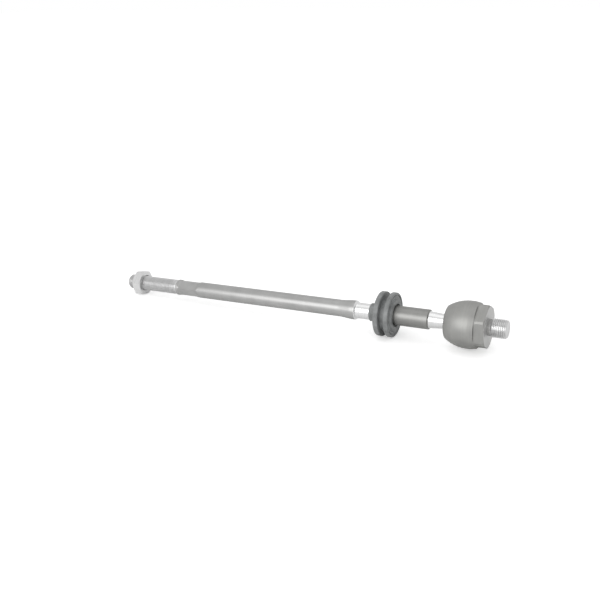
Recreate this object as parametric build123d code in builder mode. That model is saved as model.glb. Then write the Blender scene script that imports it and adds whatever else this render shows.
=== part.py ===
from build123d import *
import math
import os

# Inner tie rod of a rack-and-pinion steering gear, in millimetres.
# The rod lies along X. The origin is the face of the ball housing that seats on the rack,
# +X runs along the rack stud and -X along the rod to its outer thread.

# Rack stud of the housing
stud_diameter = 16.0
stud_length = 15.5
stud_chamfer = 1.2
undercut_diameter = 13.8
undercut_length = 3.3

# Ball housing
housing_diameter = 40.0
housing_length = 35.3
dome_start = 16.5
dome_radius = 32.0
lip_round = 2.6
wrench_flats = 33.6
wrench_corner_diameter = 37.7
wrench_length = 7.2
wrench_runout = 1.5
wrench_chamfer = 1.5
wrench_chamfer_diameter = 32.6
wrench_step = 1.6
wrench_step_rise = 0.4
shoulder_cone = 4.5

# Ball joint inside the housing
ball_diameter = 28.0
ball_depth = 22.5
swing_limit = 22.0
swing_clearance = 0.5
joint_clearance = 0.05
seat_wall = 2.35
seat_straight = 6.0
seat_back_diameter = 20.0
seat_lip_setback = 0.5
grease_hole_diameter = 5.0

# Rod, from the ball's centre outwards
neck_diameter = 12.4
neck_root_diameter = 14.4
neck_root_round = 1.0
neck_length = 27.4
sleeve_diameter = 17.0
sleeve_cone = 0.8
sleeve_length = 31.8
journal_diameter = 14.0
journal_length = 33.8
collar_diameter = 16.9
collar_length = 4.9
collar_chamfer = 0.9
collar_cone = 10.3
body_diameter = 15.0
body_length = 174.1

# Wrench hexagon of the rod
rod_flats = 13.0
rod_flats_length = 18.2
rod_flats_setback = 4.0
rod_flats_fade_radius = 32.0
rod_flats_end_radius = 2.0
hex_depth_margin = 0.8

# Outer thread
thread_diameter = 14.0
thread_length = 56.9
thread_chamfer = 1.5
thread_chamfer_depth = 1.0
thread_shoulder = 0.5

# Lock nut
nut_flats = 22.0
nut_thickness = 8.5
nut_setback = 8.7
nut_chamfer_inset = 0.45
nut_chamfer_angle = 30.0
nut_bore_clearance = 0.05
nut_countersink = 0.9

# Boot ring
ring_bore_clearance = 0.06
ring_hub_diameter = 15.9
ring_hub_length = 8.3
ring_hub_round = 0.35
ring_flange_diameter = 38.9
ring_flange_edge = 0.5
left_flange_width = 4.4
groove_width = 5.1
groove_diameter = 28.4
right_flange_width = 4.0
ring_boss_height = 1.5
ring_boss_cone = 0.4
ring_seat_diameter = 20.0
ring_seat_depth = 2.5
face_rim_width = 1.95
face_groove_width = 0.7
face_groove_depth = 0.6
face_land_width = 2.6

# How far a cutter runs past the metal
cut_overrun = 1.0

# Places that follow from the sizes above
ball_radius = ball_diameter / 2
seat_radius = ball_radius + joint_clearance + seat_wall
cavity_radius = seat_radius + joint_clearance
ball_x = -ball_depth
mouth_x = -housing_length
swing = math.radians(swing_limit)
neck_reach = neck_diameter / 2 + swing_clearance

# Stations along the rod, measured from the rack face
neck_end = ball_depth + neck_length
sleeve_start = neck_end + sleeve_cone
sleeve_end = sleeve_start + sleeve_length
journal_end = sleeve_end + journal_length
collar_end = journal_end + collar_length
body_start = collar_end + collar_cone
thread_start = body_start + body_length
thread_end = thread_start + thread_length
rod_flats_end = thread_start - rod_flats_setback
rod_flats_start = rod_flats_end - rod_flats_length
nut_end = thread_end - nut_setback
nut_start = nut_end - nut_thickness

# Stations along the boot ring, which seats on the sleeve's shoulder
ring_seat_x = -sleeve_end
ring_face_x = ring_seat_x + ring_seat_depth
right_flange_x = ring_face_x - ring_boss_height
groove_right_x = right_flange_x - right_flange_width
groove_left_x = groove_right_x - groove_width
left_flange_x = groove_left_x - left_flange_width
hub_x = left_flange_x - ring_hub_length
face_groove_outer_diameter = ring_flange_diameter - 2 * face_rim_width
face_groove_inner_diameter = face_groove_outer_diameter - 2 * face_groove_width
ring_boss_diameter = face_groove_inner_diameter - 2 * face_land_width - 2 * ring_boss_cone


def side_plane(degrees):
    """Plane through the rod's axis whose local y points outwards, turned from +Z about X."""
    turn = math.radians(degrees)
    return Plane(origin=(0, 0, 0), x_dir=(1, 0, 0), z_dir=(0, -math.cos(turn), -math.sin(turn)))


def swing_cone_radius(height):
    """Radius that the mouth needs at a height above the ball's centre, for the neck at full swing."""
    return height * math.tan(swing) + neck_reach / math.cos(swing)


def seat_bed(radius, back_radius, back_x, lip_angle):
    """Half profile of the bed round the ball: flat back, cone, straight wall and sphere up to the lip."""
    lip = math.radians(lip_angle)
    lip_point = (ball_x - radius * math.cos(lip), radius * math.sin(lip))
    halfway = math.radians((lip_angle + 90) / 2)
    mid_point = (ball_x - radius * math.cos(halfway), radius * math.sin(halfway))
    Polyline(
        (lip_point[0], 0),
        (back_x, 0),
        (back_x, back_radius),
        (ball_x + seat_straight, radius),
        (ball_x, radius),
    )
    ThreePointArc((ball_x, radius), mid_point, lip_point)
    Line(lip_point, (lip_point[0], 0))


# Angles from the mouth's axis at which the swinging neck passes the cavity and the ball's surface
throat_angle = swing_limit + math.degrees(math.asin(neck_reach / cavity_radius))
seat_lip_angle = swing_limit + math.degrees(math.asin(neck_reach / ball_radius))
seat_lip_height = ball_radius * math.cos(math.radians(seat_lip_angle)) - seat_lip_setback
seat_outer_lip_angle = math.degrees(math.acos(seat_lip_height / seat_radius))
seat_back_x = ball_x + seat_radius

# Forged housing with its rack stud, open mouth rolled in over the ball
with BuildPart() as ball_housing:
    with BuildSketch(Plane.XZ) as housing_profile:
        with BuildLine():
            mouth_drop = dome_radius - math.sqrt(dome_radius**2 - (housing_length - dome_start) ** 2)
            dome_end = (mouth_x, housing_diameter / 2 - mouth_drop)
            middle = (housing_length + dome_start) / 2
            middle_drop = dome_radius - math.sqrt(dome_radius**2 - (middle - dome_start) ** 2)
            Polyline(
                (mouth_x, 0),
                (stud_length, 0),
                (stud_length, stud_diameter / 2 - stud_chamfer),
                (stud_length - stud_chamfer, stud_diameter / 2),
                (undercut_length, stud_diameter / 2),
                (undercut_length - (stud_diameter - undercut_diameter) / 2, undercut_diameter / 2),
                (0, undercut_diameter / 2),
                (0, wrench_chamfer_diameter / 2),
                (-wrench_chamfer, wrench_corner_diameter / 2),
                (-wrench_length, wrench_corner_diameter / 2),
                (-wrench_length - wrench_step, wrench_corner_diameter / 2 + wrench_step_rise),
                (-wrench_length - wrench_step - shoulder_cone, housing_diameter / 2),
                (-dome_start, housing_diameter / 2),
            )
            ThreePointArc(
                (-dome_start, housing_diameter / 2),
                (-middle, housing_diameter / 2 - middle_drop),
                dome_end,
            )
            Line(dome_end, (mouth_x, 0))
        make_face()
        lip_corner = housing_profile.vertices().sort_by_distance(dome_end)[0]
        fillet(lip_corner, lip_round)
    revolve(axis=Axis.X)
    # Six wrench flats, each ending in the cutter's radius
    flat_top = housing_diameter / 2 + cut_overrun
    for side in range(6):
        with BuildSketch(side_plane(30 + 60 * side)):
            with BuildLine():
                Polyline(
                    (-wrench_length - wrench_runout, flat_top),
                    (cut_overrun, flat_top),
                    (cut_overrun, wrench_flats / 2),
                    (-wrench_length, wrench_flats / 2),
                )
                RadiusArc(
                    (-wrench_length, wrench_flats / 2),
                    (-wrench_length - wrench_runout, wrench_flats / 2 + wrench_runout),
                    wrench_runout,
                )
                Line(
                    (-wrench_length - wrench_runout, wrench_flats / 2 + wrench_runout),
                    (-wrench_length - wrench_runout, flat_top),
                )
            make_face()
        extrude(amount=housing_diameter / 2, both=True, mode=Mode.SUBTRACT)
    # Bed of the seat, and the mouth that lets the neck swing
    with BuildSketch(Plane.XZ):
        with BuildLine():
            seat_bed(
                cavity_radius,
                seat_back_diameter / 2 + joint_clearance,
                seat_back_x + joint_clearance,
                throat_angle,
            )
        make_face()
    revolve(axis=Axis.X, mode=Mode.SUBTRACT)
    with BuildSketch(Plane.XZ):
        with BuildLine():
            throat_height = cavity_radius * math.cos(math.radians(throat_angle))
            inner_height = throat_height - cut_overrun
            outer_height = housing_length - ball_depth + cut_overrun
            Polyline(
                (ball_x - inner_height, 0),
                (ball_x - inner_height, swing_cone_radius(inner_height)),
                (ball_x - outer_height, swing_cone_radius(outer_height)),
                (ball_x - outer_height, 0),
                close=True,
            )
        make_face()
    revolve(axis=Axis.X, mode=Mode.SUBTRACT)
ball_housing.part.label = "ball_housing"

# Plastic seat that wraps the ball past its widest line, with a grease pocket at its back
with BuildPart() as ball_seat:
    with BuildSketch(Plane.XZ):
        with BuildLine():
            seat_bed(seat_radius, seat_back_diameter / 2, seat_back_x, seat_outer_lip_angle)
        make_face()
    revolve(axis=Axis.X)
    with Locations((ball_x, 0, 0)):
        Sphere(ball_radius + joint_clearance, mode=Mode.SUBTRACT)
        Cylinder(
            grease_hole_diameter / 2,
            seat_radius,
            rotation=(0, 90, 0),
            align=(Align.CENTER, Align.CENTER, Align.MIN),
            mode=Mode.SUBTRACT,
        )
ball_seat.part.label = "ball_seat"

# Rod, forged and turned in one piece from the ball to the outer thread
with BuildPart() as tie_rod:
    with BuildSketch(Plane.XZ):
        with BuildLine():
            Polyline(
                (ball_x, 0),
                (ball_x, neck_diameter / 2),
                (ball_x - ball_radius, neck_diameter / 2),
                (-neck_end, neck_root_diameter / 2),
                (-sleeve_start, sleeve_diameter / 2),
                (-sleeve_end, sleeve_diameter / 2),
                (-sleeve_end, journal_diameter / 2),
                (-journal_end, journal_diameter / 2),
                (-journal_end, collar_diameter / 2 - collar_chamfer),
                (-journal_end - collar_chamfer, collar_diameter / 2),
                (-collar_end, collar_diameter / 2),
                (-body_start, body_diameter / 2),
                (-thread_start + thread_shoulder, body_diameter / 2),
                (-thread_start, thread_diameter / 2),
                (-thread_end + thread_chamfer, thread_diameter / 2),
                (-thread_end, thread_diameter / 2 - thread_chamfer_depth),
                (-thread_end, 0),
                close=True,
            )
        make_face()
    revolve(axis=Axis.X)
    with Locations((ball_x, 0, 0)):
        Sphere(ball_radius)
    ball_root_x = ball_x - math.sqrt(ball_radius**2 - (neck_diameter / 2) ** 2)
    ball_root = tie_rod.edges().filter_by(GeomType.CIRCLE).sort_by_distance((ball_root_x, 0, neck_diameter / 2))[0]
    fillet(ball_root, neck_root_round)
    # Six milled flats: short radius at the thread, long fade into the round body
    fade_top = body_diameter / 2 + hex_depth_margin
    fade_rise = fade_top - rod_flats / 2
    fade_length = math.sqrt(rod_flats_fade_radius**2 - (rod_flats_fade_radius - fade_rise) ** 2)
    end_length = math.sqrt(rod_flats_end_radius**2 - (rod_flats_end_radius - fade_rise) ** 2)
    for side in range(6):
        with BuildSketch(side_plane(60 * side)):
            with BuildLine():
                Line((-rod_flats_end, rod_flats / 2), (-rod_flats_start, rod_flats / 2))
                RadiusArc(
                    (-rod_flats_start, rod_flats / 2),
                    (-rod_flats_start + fade_length, fade_top),
                    -rod_flats_fade_radius,
                )
                Line((-rod_flats_start + fade_length, fade_top), (-rod_flats_end - end_length, fade_top))
                RadiusArc(
                    (-rod_flats_end - end_length, fade_top),
                    (-rod_flats_end, rod_flats / 2),
                    -rod_flats_end_radius,
                )
            make_face()
        extrude(amount=body_diameter / 2, both=True, mode=Mode.SUBTRACT)
tie_rod.part.label = "tie_rod"

# Ring on the journal, whose groove takes the small end of the rubber boot
with BuildPart() as boot_ring:
    with BuildSketch(Plane.XZ) as ring_profile:
        bore_radius = journal_diameter / 2 + ring_bore_clearance
        with BuildLine():
            Polyline(
                (hub_x, bore_radius),
                (hub_x, ring_hub_diameter / 2),
                (left_flange_x, ring_hub_diameter / 2),
                (left_flange_x, ring_flange_diameter / 2),
                (groove_left_x, ring_flange_diameter / 2),
                (groove_left_x, groove_diameter / 2),
                (groove_right_x, groove_diameter / 2),
                (groove_right_x, ring_flange_diameter / 2),
                (right_flange_x, ring_flange_diameter / 2),
                (right_flange_x, face_groove_outer_diameter / 2),
                (right_flange_x - face_groove_depth, face_groove_outer_diameter / 2),
                (right_flange_x - face_groove_depth, face_groove_inner_diameter / 2),
                (right_flange_x, face_groove_inner_diameter / 2),
                (right_flange_x, ring_boss_diameter / 2 + ring_boss_cone),
                (ring_face_x, ring_boss_diameter / 2),
                (ring_face_x, ring_seat_diameter / 2),
                (ring_seat_x, ring_seat_diameter / 2),
                (ring_seat_x, bore_radius),
                close=True,
            )
        make_face()
        rim_corners = ring_profile.vertices().group_by(Axis.Y)[-1]
        chamfer(rim_corners, ring_flange_edge)
        hub_corner = ring_profile.vertices().sort_by_distance((hub_x, ring_hub_diameter / 2))[0]
        fillet(hub_corner, ring_hub_round)
    revolve(axis=Axis.X)
boot_ring.part.label = "boot_ring"

# Hexagon lock nut, chamfered on both faces
with BuildPart() as lock_nut:
    nut_bore_radius = thread_diameter / 2 + nut_bore_clearance
    nut_corner_radius = nut_flats / 2 / math.cos(math.radians(30))
    with BuildSketch(Plane.YZ.offset(-nut_end)):
        RegularPolygon(nut_flats / 2, 6, major_radius=False)
    extrude(amount=nut_thickness)
    with BuildSketch(Plane.XZ):
        with BuildLine():
            face_radius = nut_flats / 2 - nut_chamfer_inset
            slope = (nut_corner_radius - face_radius) * math.tan(math.radians(nut_chamfer_angle))
            Polyline(
                (-nut_end, 0),
                (-nut_end, face_radius),
                (-nut_end + slope, nut_corner_radius),
                (-nut_start - slope, nut_corner_radius),
                (-nut_start, face_radius),
                (-nut_start, 0),
                close=True,
            )
        make_face()
    revolve(axis=Axis.X, mode=Mode.INTERSECT)
    with BuildSketch(Plane.XZ):
        with BuildLine():
            Polyline(
                (-nut_end, 0),
                (-nut_end, nut_bore_radius + nut_countersink),
                (-nut_end + nut_countersink, nut_bore_radius),
                (-nut_start - nut_countersink, nut_bore_radius),
                (-nut_start, nut_bore_radius + nut_countersink),
                (-nut_start, 0),
                close=True,
            )
        make_face()
    revolve(axis=Axis.X, mode=Mode.SUBTRACT)
lock_nut.part.label = "lock_nut"

os.makedirs("parts", exist_ok=True)
export_step(ball_housing.part, "parts/ball_housing.step")
export_step(ball_seat.part, "parts/ball_seat.step")
export_step(tie_rod.part, "parts/tie_rod.step")
export_step(boot_ring.part, "parts/boot_ring.step")
export_step(lock_nut.part, "parts/lock_nut.step")
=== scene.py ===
import math

import bmesh
import bpy
from mathutils import Matrix, Vector


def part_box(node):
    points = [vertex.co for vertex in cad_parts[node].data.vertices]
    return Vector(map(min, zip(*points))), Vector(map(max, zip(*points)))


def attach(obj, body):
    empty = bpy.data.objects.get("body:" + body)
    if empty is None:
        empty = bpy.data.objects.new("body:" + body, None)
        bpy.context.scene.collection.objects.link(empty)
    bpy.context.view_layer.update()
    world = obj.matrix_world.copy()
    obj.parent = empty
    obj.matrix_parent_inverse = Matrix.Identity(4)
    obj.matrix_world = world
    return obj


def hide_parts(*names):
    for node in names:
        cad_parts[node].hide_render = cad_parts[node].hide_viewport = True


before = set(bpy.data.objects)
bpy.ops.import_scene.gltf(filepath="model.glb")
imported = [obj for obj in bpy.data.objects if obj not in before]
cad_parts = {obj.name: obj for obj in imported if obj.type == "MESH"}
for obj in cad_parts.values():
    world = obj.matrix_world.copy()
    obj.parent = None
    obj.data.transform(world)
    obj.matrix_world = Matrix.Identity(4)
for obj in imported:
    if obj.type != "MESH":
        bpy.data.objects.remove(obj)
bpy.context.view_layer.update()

# Ball housing
# A forged steel cup, turned outside, with its mouth rolled in over the seat and a wrench hexagon at its
# back. The rack stud is cut on the same forging. The grey is a phosphate coat, and the stud's thread is
# bright.
# The flat face gets a paler copy of the phosphate as painted light. The undercut at the stud's root gets a
# grey
# darker than the thread: partly its own unrolled phosphate, partly painted shade in that recess.
MM = 0.001
SIDES = 120
housing_low, housing_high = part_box("ball_housing")
MOUTH_X = housing_low.x / MM
STUD_END = housing_high.x / MM
HOUSING_RADIUS = housing_high.z / MM
BALL_X = -22.5
DOME_START = -16.5
DOME_RADIUS = 32.0
WRENCH_FLAT = 16.8
WRENCH_CORNER = 18.85
WRENCH_LENGTH = 7.2
WRENCH_RUNOUT = 1.5
STUD_RADIUS = 8.0
UNDERCUT_RADIUS = 6.9
UNDERCUT_LENGTH = 3.3
UNDERCUT_CONE = 1.1
STUD_CHAMFER = 1.2
FACE_RADIUS = 17.4
FACE_LEFT = -0.03
FACE_RIGHT = 0.05
THREAD_LEFT = 1.9
PAST_END = 99
CAVITY_RADIUS = 16.45
SWING = math.radians(22)
NECK_REACH = 6.7
THREAD_PITCH = 1.5
THREAD_DEPTH = 0.92
FINE_STEP = 0.3


def eased(corners, steps=4):
    """Outline through (x, radius, rounding) corners, in millimetres, with an arc at each rounded one."""
    line = [Vector(corners[0][:2])]
    for before, here, after in zip(corners, corners[1:], corners[2:]):
        point = Vector(here[:2])
        rounding = here[2]
        if not rounding:
            line.append(point)
            continue
        back = (Vector(before[:2]) - point).normalized()
        on = (Vector(after[:2]) - point).normalized()
        half = back.angle(on) / 2
        centre = point + (back + on).normalized() * rounding / math.sin(half)
        start = point + back * rounding / math.tan(half) - centre
        end = point + on * rounding / math.tan(half) - centre
        for step in range(steps + 1):
            line.append(centre + start.slerp(end, step / steps).normalized() * rounding)
    line.append(Vector(corners[-1][:2]))
    return line


def arc(centre_x, centre_radius, radius, start, end, steps):
    """Points of a turned arc, angles in degrees from +X towards the outside."""
    turns = [math.radians(start + (end - start) * step / steps) for step in range(steps + 1)]
    return [(centre_x + radius * math.cos(t), centre_radius + radius * math.sin(t), 0) for t in turns]


def spread(line, longest, fine=(0, 0)):
    """The same outline with its long stretches divided, and finely between the two stations of fine."""
    points = [line[0]]
    for a, b in zip(line, line[1:]):
        middle = (a.x + b.x) / 2
        step = FINE_STEP if fine[0] < middle < fine[1] else longest
        parts = max(1, math.ceil((b - a).length / step))
        points += [a.lerp(b, k / parts) for k in range(1, parts + 1)]
    return points


def turn(shape, line):
    """Spins an outline of (x, radius) points, in millimetres, about the rod's axis."""
    chain = [shape.verts.new((p[0] * MM, max(p[1], 0) * MM, 0)) for p in line]
    edges = [shape.edges.new(pair) for pair in zip(chain, chain[1:])]
    bmesh.ops.spin(
        shape, geom=chain + edges, cent=(0, 0, 0), axis=(1, 0, 0), angle=math.tau, steps=SIDES, use_merge=True
    )


def mill(shape, flat, first, low, high):
    """Cuts six flats, by pulling what lies outside onto them. flat gives their distance from the axis."""
    for vert in shape.verts:
        x = vert.co.x / MM
        if not low <= x <= high:
            continue
        radius = math.hypot(vert.co.y, vert.co.z)
        angle = math.degrees(math.atan2(vert.co.z, vert.co.y)) - first
        off = math.radians((angle + 30) % 60 - 30)
        reach = flat(x) * MM / math.cos(off)
        if radius > reach:
            vert.co.y *= reach / radius
            vert.co.z *= reach / radius


def cut_thread(shape, low, high, major, limit):
    """A right-hand thread as a closed solid of its own. limit is the largest radius allowed at x."""
    bar = bmesh.new()
    root = major - THREAD_DEPTH
    tooth = [(0, root), (0.25, root), (0.41, root + THREAD_DEPTH / 2), (0.5625, major), (0.6875, major),
             (0.84, root + THREAD_DEPTH / 2)]
    first = low - 2 * THREAD_PITCH
    turns = math.ceil((high - low) / THREAD_PITCH) + 3
    line = [(first + (lap + x) * THREAD_PITCH, r) for lap in range(turns) for x, r in tooth]
    chain = [bar.verts.new((x * MM, r * MM, 0)) for x, r in line]
    edges = [bar.edges.new(pair) for pair in zip(chain, chain[1:])]
    advance = (THREAD_PITCH * MM / SIDES, 0, 0)
    bmesh.ops.spin(
        bar, geom=chain + edges, cent=(0, 0, 0), axis=(1, 0, 0), dvec=advance, angle=math.tau, steps=SIDES
    )
    bmesh.ops.remove_doubles(bar, verts=bar.verts, dist=1e-6)
    for place, way in ((low, -1), (high, 1)):
        everything = bar.verts[:] + bar.edges[:] + bar.faces[:]
        bmesh.ops.bisect_plane(
            bar, geom=everything, dist=1e-7, clear_outer=True,
            plane_co=(place * MM, 0, 0), plane_no=(way, 0, 0),
        )
    for vert in bar.verts:
        radius = math.hypot(vert.co.y, vert.co.z)
        most = limit(vert.co.x / MM) * MM
        if radius > most:
            vert.co.y *= most / radius
            vert.co.z *= most / radius
    bmesh.ops.holes_fill(bar, edges=[edge for edge in bar.edges if edge.is_boundary], sides=0)
    part = bpy.data.meshes.new("thread")
    bar.to_mesh(part)
    bar.free()
    shape.from_mesh(part)
    bpy.data.meshes.remove(part)


def finished(shape, name, crease=28):
    """Closes the poles, turns the faces outwards and makes the piece, smooth but for its edges."""
    bmesh.ops.remove_doubles(shape, verts=shape.verts, dist=1e-7)
    bmesh.ops.recalc_face_normals(shape, faces=shape.faces)
    mesh = bpy.data.meshes.new(name)
    shape.to_mesh(mesh)
    shape.free()
    mesh.shade_smooth()
    mesh.set_sharp_from_angle(angle=math.radians(crease))
    piece = bpy.data.objects.new(name, mesh)
    bpy.context.scene.collection.objects.link(piece)
    return piece


def coat(piece, bands):
    """Gives each face the finish of the band of x that its middle lies in. Bands run from the left."""
    finishes = []
    for _, finish in bands:
        if finish not in finishes:
            finishes.append(finish)
            piece.data.materials.append(finish)
    for face in piece.data.polygons:
        x = face.center.x / MM
        chosen = next(finish for right, finish in bands if x <= right)
        face.material_index = finishes.index(chosen)


class Wire:
    """A socket of a finish, so that shader maths is written as Python."""

    def __init__(self, finish, socket):
        self.finish = finish
        self.socket = socket

    def _math(self, operation, first, second):
        return self.finish.node("ShaderNodeMath", {"operation": operation}, {0: first, 1: second})

    def __add__(self, other):
        return self._math("ADD", self, other)

    def __mul__(self, other):
        return self._math("MULTIPLY", self, other)

    __radd__ = __add__
    __rmul__ = __mul__


class Finish:
    """One material under construction."""

    def __init__(self, name, metallic=1.0):
        self.material = bpy.data.materials.new(name)
        self.material.use_nodes = True
        self.tree = self.material.node_tree
        self.shader = self.tree.nodes["Principled BSDF"]
        self.shader.inputs["Metallic"].default_value = metallic
        self.place = self.node("ShaderNodeTexCoord", {}, {}, "Object")

    def node(self, kind, settings, inputs, output=0):
        """Adds a node: its settings first, then the values or links of its sockets."""
        made = self.tree.nodes.new(kind)
        for name, value in settings.items():
            if name == "stops":
                made.color_ramp.elements[0].position = value[0][0]
                made.color_ramp.elements[1].position = value[-1][0]
                for position, _ in value[1:-1]:
                    made.color_ramp.elements.new(position)
                for element, (_, colour) in zip(made.color_ramp.elements, value):
                    element.color = (*colour, 1)
            else:
                setattr(made, name, value)
        for name, value in inputs.items():
            if isinstance(value, Wire):
                self.tree.links.new(value.socket, made.inputs[name])
            else:
                made.inputs[name].default_value = value
        return Wire(self, made.outputs[output])

    def noise(self, scale, stretch=(1, 1, 1), detail=3.0, roughness=0.55):
        """Noise over the piece, 0 to 1, stretched along the axes."""
        place = self.node("ShaderNodeMapping", {}, {"Vector": self.place, "Scale": stretch})
        inputs = {"Vector": place, "Scale": scale, "Detail": detail, "Roughness": roughness}
        return self.node("ShaderNodeTexNoise", {}, inputs)

    def ramp(self, factor, stops):
        return self.node("ShaderNodeValToRGB", {"stops": stops}, {0: factor})

    def mix(self, factor, first, second):
        return self.node(
            "ShaderNodeMix", {"data_type": "RGBA"}, {"Factor": factor, 6: first, 7: second}, 2
        )

    def bump(self, height, distance, strength=1.0):
        return self.node(
            "ShaderNodeBump", {}, {"Height": height, "Distance": distance, "Strength": strength}, "Normal"
        )

    def feed(self, name, value):
        if isinstance(value, Wire):
            self.tree.links.new(value.socket, self.shader.inputs[name])
        else:
            self.shader.inputs[name].default_value = value


def phosphated(name, dark, light, roughness=0.5):
    """Grey phosphate on turned steel: a fine crystalline grain, faint turning lines and cloudy patches."""
    finish = Finish(name, metallic=0.9)
    grain = finish.noise(5200, detail=2.0)
    clouds = finish.noise(90, detail=4.0)
    lines = finish.noise(1500, stretch=(1, 0.02, 0.02), detail=2.0)
    colour = finish.ramp(grain * 0.35 + clouds * 0.45 + lines * 0.2, [(0.36, dark), (0.64, light)])
    finish.feed("Base Color", colour)
    finish.feed("Roughness", clouds * 0.14 + (roughness - 0.07))
    finish.feed("Normal", finish.bump(grain * 0.6 + lines * 0.4, 0.00002, 0.5))
    return finish.material


def bright_steel(name, dark, light, roughness=0.24):
    """Steel left bright from the lathe or the grinder, with fine rings round the axis."""
    finish = Finish(name)
    rings = finish.noise(2600, stretch=(1, 0.01, 0.01), detail=3.0)
    clouds = finish.noise(160, detail=3.0)
    finish.feed("Base Color", finish.ramp(rings * 0.7 + clouds * 0.3, [(0.35, dark), (0.65, light)]))
    finish.feed("Roughness", rings * 0.12 + (roughness - 0.06))
    finish.feed("Normal", finish.bump(rings, 0.00001, 0.35))
    return finish.material


HOUSING_GREY = phosphated("housing_phosphate", (0.34, 0.34, 0.33), (0.43, 0.43, 0.415), 0.5)
# Painted light: a paler copy of the phosphate for the flat face, standing in for the light the face catches.
FACE_GREY_PAINTED_LIGHT = phosphated("face_phosphate_painted_light", (0.54, 0.54, 0.535), (0.66, 0.66, 0.65), 0.42)
# Partly painted shade: a grey darker than the bright thread, for the shade at the stud's root, on the
# undercut's own unrolled phosphate.
UNDERCUT_GREY_PAINTED_SHADE = phosphated("undercut_phosphate_painted_shade", (0.38, 0.38, 0.375), (0.50, 0.50, 0.49), 0.5)
STUD_STEEL = bright_steel("stud_thread", (0.60, 0.60, 0.60), (0.84, 0.84, 0.84), 0.3)


def wrench_flat(x):
    """Distance of the housing's flats from the axis, with the cutter's radius at their inner end."""
    inside = -WRENCH_LENGTH - x
    if inside <= 0:
        return WRENCH_FLAT
    if inside >= WRENCH_RUNOUT:
        return HOUSING_RADIUS + 1
    return WRENCH_FLAT + WRENCH_RUNOUT - math.sqrt(WRENCH_RUNOUT**2 - inside**2)


def mouth_radius(height):
    """Radius of the mouth at a height above the ball's centre, just clear of the neck at full swing."""
    return height * math.tan(SWING) + NECK_REACH / math.cos(SWING)


throat_angle = SWING + math.asin(NECK_REACH / CAVITY_RADIUS)
mouth_height = BALL_X - MOUTH_X
dome_tip = math.degrees(math.acos((MOUTH_X - DOME_START) / DOME_RADIUS))
lip_x, lip_radius, _ = arc(DOME_START, HOUSING_RADIUS - DOME_RADIUS, DOME_RADIUS, 90, dome_tip, 1)[-1]
shell = bmesh.new()
outside = [
    (0.3, 0, 0), (0.3, UNDERCUT_RADIUS, 0), (0, UNDERCUT_RADIUS + 0.4, 0.2), (0, FACE_RADIUS, 0.2),
    (-0.8, WRENCH_CORNER, 0.3), (-WRENCH_LENGTH - 0.8, WRENCH_CORNER, 0.3), (-8.8, 19.25, 0.4),
    (-13.3, HOUSING_RADIUS, 3.0), (DOME_START, HOUSING_RADIUS, 0),
]
dome = arc(DOME_START, HOUSING_RADIUS - DOME_RADIUS, DOME_RADIUS, 90, dome_tip, 28)[1:-1]
inside = [(MOUTH_X, mouth_radius(mouth_height), 0.35)]
bed = arc(BALL_X, 0, CAVITY_RADIUS, 180 - math.degrees(throat_angle), 0, 40)
outline = eased(outside + dome + [(MOUTH_X, lip_radius, 2.6)] + inside + bed, steps=5)
turn(shell, spread(outline, 0.45))
mill(shell, wrench_flat, 0, -WRENCH_LENGTH - WRENCH_RUNOUT, 0.1)


def stud_limit(x):
    """The stud's chamfered end, and its undercut next to the housing."""
    root = UNDERCUT_RADIUS + max(0, x - UNDERCUT_LENGTH + UNDERCUT_CONE)
    return min(root, STUD_RADIUS, STUD_RADIUS - STUD_CHAMFER + (STUD_END - x))


cut_thread(shell, 0.1, STUD_END, STUD_RADIUS, stud_limit)
housing = finished(shell, "forged_ball_housing")
# The face band carries painted light, and the undercut band is partly painted shade.
coat(housing, [
    (FACE_LEFT, HOUSING_GREY), (FACE_RIGHT, FACE_GREY_PAINTED_LIGHT), (THREAD_LEFT, UNDERCUT_GREY_PAINTED_SHADE), (PAST_END, STUD_STEEL),
])
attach(housing, "housing")
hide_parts("ball_housing")

# Ball seat
# A moulded acetal shell round the ball, pressed in before the mouth is rolled. Only its lip can be seen,
# from the rod's side.
SEAT_WHITE = (0.72, 0.70, 0.63)
seat_finish = Finish("seat_acetal", metallic=0.0)
seat_clouds = seat_finish.noise(220, detail=3.0)
seat_finish.feed("Base Color", seat_finish.ramp(seat_clouds, [(0.3, (0.60, 0.58, 0.50)), (0.7, SEAT_WHITE)]))
seat_finish.feed("Roughness", seat_clouds * 0.2 + 0.25)
seat_finish.feed("Normal", seat_finish.bump(seat_clouds, 0.00003, 0.4))
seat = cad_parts["ball_seat"]
seat.data.materials.clear()
seat.data.materials.append(seat_finish.material)

# Tie rod
# One forging from the ball to the outer thread. Body, collar and sleeve are phosphated; the neck and the boot
# ring's journal are ground bright, the thread is rolled, and six flats are milled for a 13 mm wrench.
rod_low, rod_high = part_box("tie_rod")
THREAD_END = rod_low.x / MM
BALL_RADIUS = rod_high.z / MM
NECK_RADIUS = 6.2
BODY_RADIUS = 7.5
THREAD_RADIUS = 7.0
THREAD_START = -305.6
ROD_FLAT = 6.5
FLATS_END = -301.6
FLATS_START = -283.4
FADE_RADIUS = 7.0
FADE_LENGTH = 6.0
CUTTER_RADIUS = 2.0
ROD_TURN = 15
NECK_START = -36.5
SLEEVE_RADIUS = 8.5
SLEEVE_START = -50.7
SLEEVE_END = -82.5
JOURNAL_RADIUS = 7.0
JOURNAL_END = -116.3
COLLAR_RADIUS = 8.45
COLLAR_START = -117.2
COLLAR_END = -121.2
BODY_START = -131.5
BODY_END = -305.1
THREAD_CHAMFER = 1.0


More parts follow.
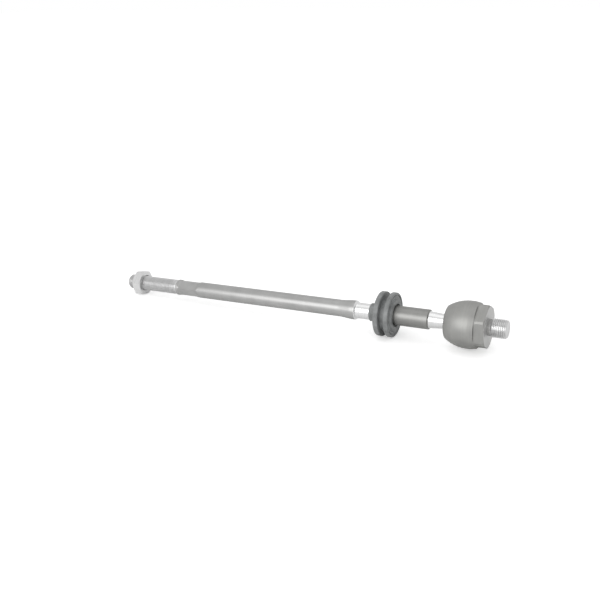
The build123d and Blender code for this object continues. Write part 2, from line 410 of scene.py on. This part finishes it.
def rod_flat(x):
    """Distance of the rod's flats from the axis, with a cutter's radius at each end."""
    if x > FLATS_START:
        run = min(x - FLATS_START, FADE_RADIUS)
        return ROD_FLAT + FADE_RADIUS - math.sqrt(FADE_RADIUS**2 - run**2)
    if x < FLATS_END:
        run = min(FLATS_END - x, CUTTER_RADIUS)
        return ROD_FLAT + CUTTER_RADIUS - math.sqrt(CUTTER_RADIUS**2 - run**2)
    return ROD_FLAT


def rod_thread_limit(x):
    """The outer thread's chamfered end, and its run-out at the shoulder."""
    runout = THREAD_RADIUS - THREAD_DEPTH + max(0, (THREAD_START - 1.2 - x)) * 0.5
    chamfer = THREAD_RADIUS - THREAD_CHAMFER + (x - THREAD_END) * 0.67
    return min(THREAD_RADIUS, chamfer, max(runout, THREAD_RADIUS - 0.75))


ball_edge = 180 - math.degrees(math.asin(NECK_RADIUS / BALL_RADIUS))
bar = bmesh.new()
rod_corners = arc(BALL_X, 0, BALL_RADIUS, 0, ball_edge, 44)[:-1] + [
    (BALL_X - math.sqrt(BALL_RADIUS**2 - NECK_RADIUS**2), NECK_RADIUS, 0.8),
    (NECK_START, NECK_RADIUS, 0), (-49.9, 7.2, 0.3), (SLEEVE_START, SLEEVE_RADIUS, 0.25),
    (SLEEVE_END, SLEEVE_RADIUS, 0.2), (SLEEVE_END, JOURNAL_RADIUS, 0), (JOURNAL_END, JOURNAL_RADIUS, 0.15),
    (JOURNAL_END, 7.55, 0), (COLLAR_START, COLLAR_RADIUS, 0.3), (COLLAR_END, COLLAR_RADIUS, 3.0),
    (BODY_START, BODY_RADIUS, 6.0), (FLATS_START + FADE_LENGTH, BODY_RADIUS, 0),
    (BODY_END, BODY_RADIUS, 0.2), (THREAD_START, THREAD_RADIUS, 0),
    (THREAD_START - 0.2, THREAD_RADIUS - 0.75, 0), (THREAD_START - 0.2, 0, 0),
]
fine_stretch = (THREAD_START, FLATS_START + FADE_LENGTH)
turn(bar, spread(eased(rod_corners, steps=5), 2.0, fine=fine_stretch))
mill(bar, rod_flat, ROD_TURN, FLATS_END - CUTTER_RADIUS, FLATS_START + FADE_LENGTH)
cut_thread(bar, THREAD_END, THREAD_START, THREAD_RADIUS, rod_thread_limit)
rod = finished(bar, "forged_tie_rod", crease=24)
ROD_GREY = phosphated("rod_phosphate", (0.41, 0.41, 0.405), (0.50, 0.50, 0.495), 0.38)
SLEEVE_GREY = phosphated("sleeve_phosphate", (0.29, 0.29, 0.28), (0.37, 0.37, 0.36), 0.42)
GROUND = bright_steel("ground_steel", (0.80, 0.80, 0.80), (0.95, 0.95, 0.95), 0.22)
ROLLED = bright_steel("rolled_thread", (0.62, 0.62, 0.62), (0.80, 0.80, 0.80), 0.3)
coat(rod, [
    (-305.5, ROLLED), (-117.4, ROD_GREY), (-82.6, GROUND), (-50.3, SLEEVE_GREY), (PAST_END, GROUND),
])
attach(rod, "rod")
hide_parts("tie_rod")

# Boot ring
# A ring moulded in dark grey plastic, whose groove takes the small end of the rubber boot. It sits on the
# journal against the sleeve's shoulder, with a shallow ring of relief moulded in its face.
ring_low, ring_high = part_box("boot_ring")
RING_LEFT = ring_low.x / MM
RING_RIGHT = ring_high.x / MM
RING_RADIUS = ring_high.z / MM
RING_BORE = 7.06
FLANGE_LEFT = -95.0
FLANGE_RIGHT = -81.5
FLANGE_EDGE = 0.7
GROOVE_LEFT = -90.6
GROOVE_RIGHT = -85.5
GROOVE_RADIUS = 14.2
ring_shape = bmesh.new()
ring_corners = [
    (-84.0, RING_BORE, 0), (RING_LEFT, RING_BORE, 0.2), (RING_LEFT, 7.95, 0.4), (FLANGE_LEFT, 7.95, 0.5),
    (FLANGE_LEFT, RING_RADIUS, FLANGE_EDGE), (GROOVE_LEFT, RING_RADIUS, FLANGE_EDGE),
    (GROOVE_LEFT, GROOVE_RADIUS, 0.3), (GROOVE_RIGHT, GROOVE_RADIUS, 0.3),
    (GROOVE_RIGHT, RING_RADIUS, FLANGE_EDGE), (FLANGE_RIGHT, RING_RADIUS, FLANGE_EDGE),
    (FLANGE_RIGHT, 17.5, 0.15), (-82.1, 17.5, 0), (-82.1, 16.8, 0), (FLANGE_RIGHT, 16.8, 0.15),
    (FLANGE_RIGHT, 14.2, 0.3), (RING_RIGHT, 13.8, 0.4), (RING_RIGHT, 10.0, 0.3),
    (SLEEVE_END, 10.0, 0), (SLEEVE_END, RING_BORE, 0), (-84.0, RING_BORE, 0),
]
turn(ring_shape, spread(eased(ring_corners), 0.7))
boot_ring = finished(ring_shape, "moulded_boot_ring", crease=35)
RING_DARK = (0.14, 0.145, 0.145)
RING_LIGHT = (0.30, 0.31, 0.31)
ring_finish = Finish("ring_plastic", metallic=0.0)
ring_grain = ring_finish.noise(1900, detail=3.0)
ring_clouds = ring_finish.noise(150, detail=3.0)
ring_mottle = ring_grain * 0.4 + ring_clouds * 0.6
ring_finish.feed("Base Color", ring_finish.ramp(ring_mottle, [(0.36, RING_DARK), (0.64, RING_LIGHT)]))
ring_finish.feed("Roughness", ring_clouds * 0.2 + 0.34)
ring_finish.feed("Normal", ring_finish.bump(ring_grain, 0.00006, 0.5))
boot_ring.data.materials.append(ring_finish.material)
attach(boot_ring, "ring")
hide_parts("boot_ring")

# Lock nut
# A zinc-plated hexagon nut, cold-formed and chamfered on both faces. It is screwed along the outer thread and
# has stopped with its flats a little off level.
nut_low, nut_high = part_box("lock_nut")
NUT_LEFT = nut_low.x / MM
NUT_RIGHT = nut_high.x / MM
NUT_FLAT = nut_high.z / MM
NUT_CORNER = nut_high.y / MM
NUT_FACE = 10.6
NUT_RISE = 1.25
NUT_BORE = 7.05
NUT_SINK = 0.9
NUT_TURN = 15


def nut_flat(x):
    """Distance of the nut's flats from the axis, the same all along."""
    return NUT_FLAT


nut_shape = bmesh.new()
nut_corners = [
    (NUT_LEFT + 3, NUT_BORE, 0), (NUT_LEFT + NUT_SINK, NUT_BORE, 0), (NUT_LEFT, NUT_BORE + NUT_SINK, 0),
    (NUT_LEFT, NUT_FACE, 0.3), (NUT_LEFT + NUT_RISE, NUT_CORNER, 0.3),
    (NUT_RIGHT - NUT_RISE, NUT_CORNER, 0.3), (NUT_RIGHT, NUT_FACE, 0.3),
    (NUT_RIGHT, NUT_BORE + NUT_SINK, 0), (NUT_RIGHT - NUT_SINK, NUT_BORE, 0), (NUT_LEFT + 3, NUT_BORE, 0),
]
turn(nut_shape, spread(eased(nut_corners), 0.3))
mill(nut_shape, nut_flat, NUT_TURN, NUT_LEFT - 1, NUT_RIGHT + 1)
lock_nut = finished(nut_shape, "zinc_lock_nut")
lock_nut.data.materials.append(bright_steel("nut_zinc", (0.74, 0.74, 0.74), (0.90, 0.90, 0.90), 0.3))
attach(lock_nut, "nut")
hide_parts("lock_nut")

# Floor
# The rod lies on the boot ring and the lock nut, so the white floor passes under the ring's flange and the
# level nut of the solids, and slopes a little along the rod. The turned nut's lowest corner dips below it.
FLOOR_SIZE = 6.0
FLOOR_CONTACT = 8.3
contact_x = ring_low.x + FLOOR_CONTACT * MM
slope = math.atan2(nut_low.z - ring_low.z, contact_x - nut_low.x)
floor_shape = bmesh.new()
bmesh.ops.create_grid(floor_shape, x_segments=1, y_segments=1, size=FLOOR_SIZE)
lie = Matrix.Translation((contact_x, 0, ring_low.z)) @ Matrix.Rotation(slope, 4, "Y")
bmesh.ops.transform(floor_shape, matrix=lie, verts=floor_shape.verts)
floor_mesh = bpy.data.meshes.new("floor")
floor_shape.to_mesh(floor_mesh)
floor_shape.free()
floor = bpy.data.objects.new("floor", floor_mesh)
bpy.context.scene.collection.objects.link(floor)
floor_paint = Finish("floor_white", metallic=0.0)
floor_paint.feed("Base Color", (0.93, 0.93, 0.93, 1))
floor_paint.feed("Roughness", 0.9)
floor_paint.feed("Specular IOR Level", 0.0)
seen = floor_paint.node("ShaderNodeLightPath", {}, {}, "Is Camera Ray")
floor_paint.feed("Emission Color", floor_paint.mix(seen, (0, 0, 0, 1), (1, 1, 1, 1)))
floor_paint.feed("Emission Strength", 0.42)
floor_mesh.materials.append(floor_paint.material)

# Studio light
# A pale room, with a softbox beside the camera and a little above the floor, and a weaker one overhead.
ROOM_LEVEL = 0.76
room = bpy.data.worlds.new("room")
room.use_nodes = True
room_nodes = room.node_tree.nodes
room_glow = room_nodes["Background"]
room_glow.inputs["Color"].default_value = (1, 1, 1, 1)
room_ray = room_nodes.new("ShaderNodeLightPath")
room_level = room_nodes.new("ShaderNodeMix")
room_level.inputs["A"].default_value = ROOM_LEVEL
room_level.inputs["B"].default_value = 1.0
room.node_tree.links.new(room_ray.outputs["Is Camera Ray"], room_level.inputs["Factor"])
room.node_tree.links.new(room_level.outputs["Result"], room_glow.inputs["Strength"])
bpy.context.scene.world = room


def lamp(name, place, aim, size, power):
    """A square soft lamp that faces a point."""
    light = bpy.data.lights.new(name, "AREA")
    light.size = size
    light.energy = power
    holder = bpy.data.objects.new(name, light)
    holder.location = place
    holder.rotation_euler = (Vector(aim) - Vector(place)).to_track_quat("-Z", "Y").to_euler()
    bpy.context.scene.collection.objects.link(holder)


lamp("front", (-0.45, -1.1, 0.48), (-0.17, 0, 0), 0.9, 5.0)
lamp("overhead", (-0.2, 0.1, 1.3), (-0.17, 0, 0), 1.0, 1)

# Camera
# It stands at the photograph's angle: turned towards the stud's end, above the floor, and rolled by the
# photograph's degree and a half.
FOCAL_PIXELS = 835.8
FRAME_PIXELS = 600.0
AZIMUTH = math.radians(27.51)
ELEVATION = math.radians(21.42)
ROLL = math.radians(-1.574)
STUD_END_PIXEL = (508.26, 329.71)
STUD_END_SCALE = 1.2402
up = Vector((math.sin(slope), 0, math.cos(slope)))
along = Vector((math.cos(slope), 0, -math.sin(slope)))
across = up.cross(along)
right = along * math.cos(AZIMUTH) + across * math.sin(AZIMUTH)
level = across * math.cos(AZIMUTH) - along * math.sin(AZIMUTH)
ahead = level * math.cos(ELEVATION) - up * math.sin(ELEVATION)
top = right.cross(ahead)
rolled_right = right * math.cos(ROLL) + top * math.sin(ROLL)
top = top * math.cos(ROLL) - right * math.sin(ROLL)
right = rolled_right
offset = Vector((
    (STUD_END_PIXEL[0] - FRAME_PIXELS / 2) / STUD_END_SCALE,
    (FRAME_PIXELS / 2 - STUD_END_PIXEL[1]) / STUD_END_SCALE,
    FOCAL_PIXELS / STUD_END_SCALE,
)) * MM
stud_tip = Vector((housing_high.x, 0, 0))
eye = stud_tip - right * offset.x - top * offset.y - ahead * offset.z
lens = bpy.data.cameras.new("camera")
lens.sensor_width = 36.0
lens.lens = lens.sensor_width * FOCAL_PIXELS / FRAME_PIXELS
lens.clip_start = 0.01
camera = bpy.data.objects.new("camera", lens)
pose = Matrix((right, top, -ahead)).transposed().to_4x4()
pose.translation = eye
camera.matrix_world = pose
bpy.context.scene.collection.objects.link(camera)
bpy.context.scene.camera = camera
bpy.context.scene.view_settings.view_transform = "Standard"
